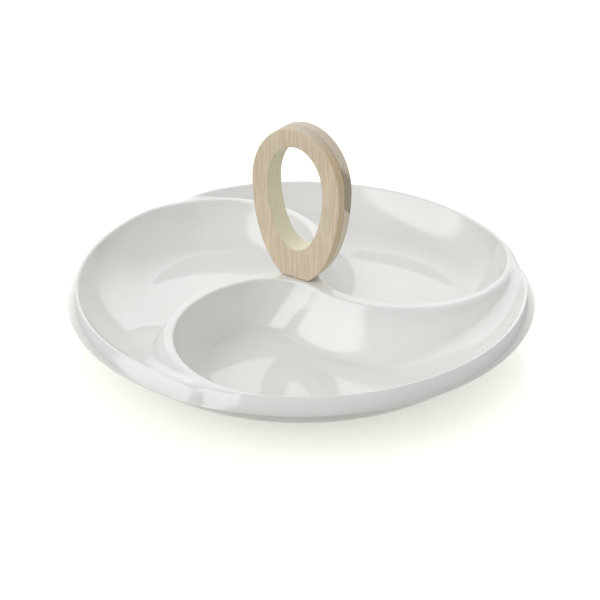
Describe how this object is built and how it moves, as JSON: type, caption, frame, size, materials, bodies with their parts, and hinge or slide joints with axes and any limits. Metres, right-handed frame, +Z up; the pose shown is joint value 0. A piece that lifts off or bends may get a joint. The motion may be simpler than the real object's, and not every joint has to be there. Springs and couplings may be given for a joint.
{
  "type": "divided serving dish",
  "caption": "Round white porcelain serving dish whose overlapping bowls curl round the middle like a pinwheel, with an upright bamboo ring handle that turns on its fixing screw.",
  "frame": {"origin": "middle of the foot ring, on the plane the dish stands on", "axes": "+Z up along the handle's screw, +X along the width of the ring handle, +Y along its thickness, away from its front face"},
  "size_m": [0.2799, 0.2798, 0.1319],
  "materials": {
    "porcelain": "white gloss glaze, bare biscuit on the foot ring's resting face",
    "bamboo": "pale laminated bamboo with upright grain, matt oil",
    "brass": "turned",
    "screw_steel": "plain stainless",
    "spring_steel": "plain stainless, darker",
    "washer_steel": "stamped stainless",
    "rubber": "black moulded rubber",
    "silicone": "translucent white silicone, matt"
  },
  "bodies": {
    "dish": {"dish": "porcelain", "seat_gasket": "silicone", "flanged_grommet": "rubber"},
    "handle": {"ring_handle": "bamboo", "threaded_insert": "brass", "handle_screw": "screw_steel", "spring_washer": "spring_steel", "flat_washer": "washer_steel"}
  },
  "joints": [
    {"name": "handle_swivel", "type": "hinge", "parent": "dish", "child": "handle", "pos_m": [0, 0, 0.037], "axis": [0, 0, 1], "continuous": true}
  ]
}
